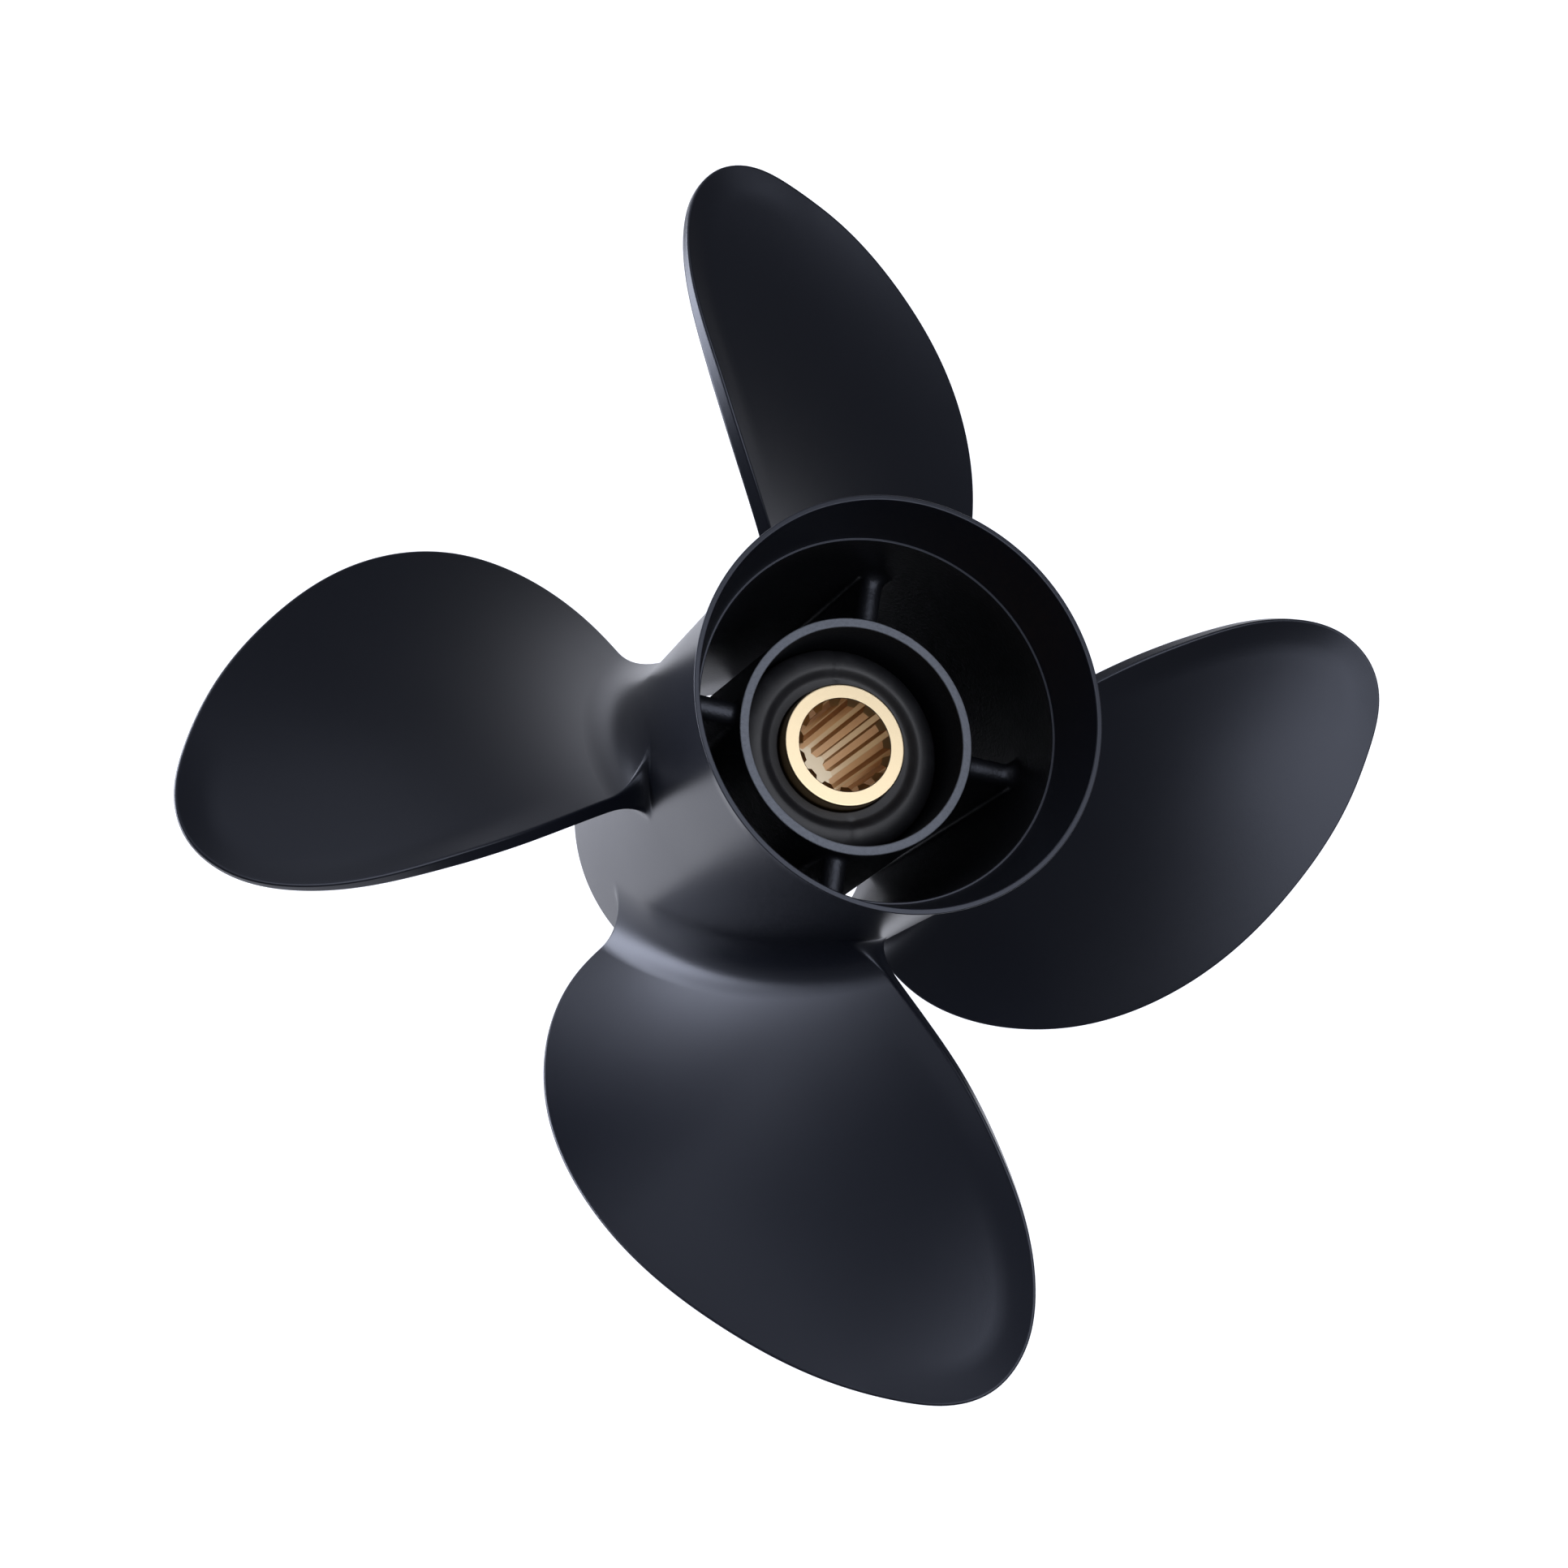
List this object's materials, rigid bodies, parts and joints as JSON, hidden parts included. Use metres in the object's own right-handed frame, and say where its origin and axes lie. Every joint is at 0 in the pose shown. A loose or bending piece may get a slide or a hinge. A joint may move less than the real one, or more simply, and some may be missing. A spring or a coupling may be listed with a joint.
{
  "type": "outboard boat propeller",
  "caption": "Right-hand boat propeller cast in aluminium and painted black, with raked blades, a through-hub exhaust barrel, a rubber bush and a splined brass sleeve.",
  "frame": {"origin": "centre of the barrel's flat front rim, on which the part stands", "axes": "+Z along the shaft's axis, pointing aft, the way the hub's open end faces; ribs lie on the diagonals between X and Y"},
  "size_m": [0.3028, 0.3028, 0.146],
  "materials": {
    "black_paint": "satin black paint over cast aluminium",
    "rubber": "smooth moulded black rubber",
    "brass": "turned and broached brass"
  },
  "bodies": {
    "root": {"outer_barrel": "black_paint", "inner_hub": "black_paint", "rib_1": "black_paint", "rib_2": "black_paint", "rib_3": "black_paint", "rib_4": "black_paint", "blade_1": "black_paint", "blade_2": "black_paint", "blade_3": "black_paint", "blade_4": "black_paint", "rubber_bush": "rubber", "spline_sleeve": "brass"}
  },
  "joints": []
}
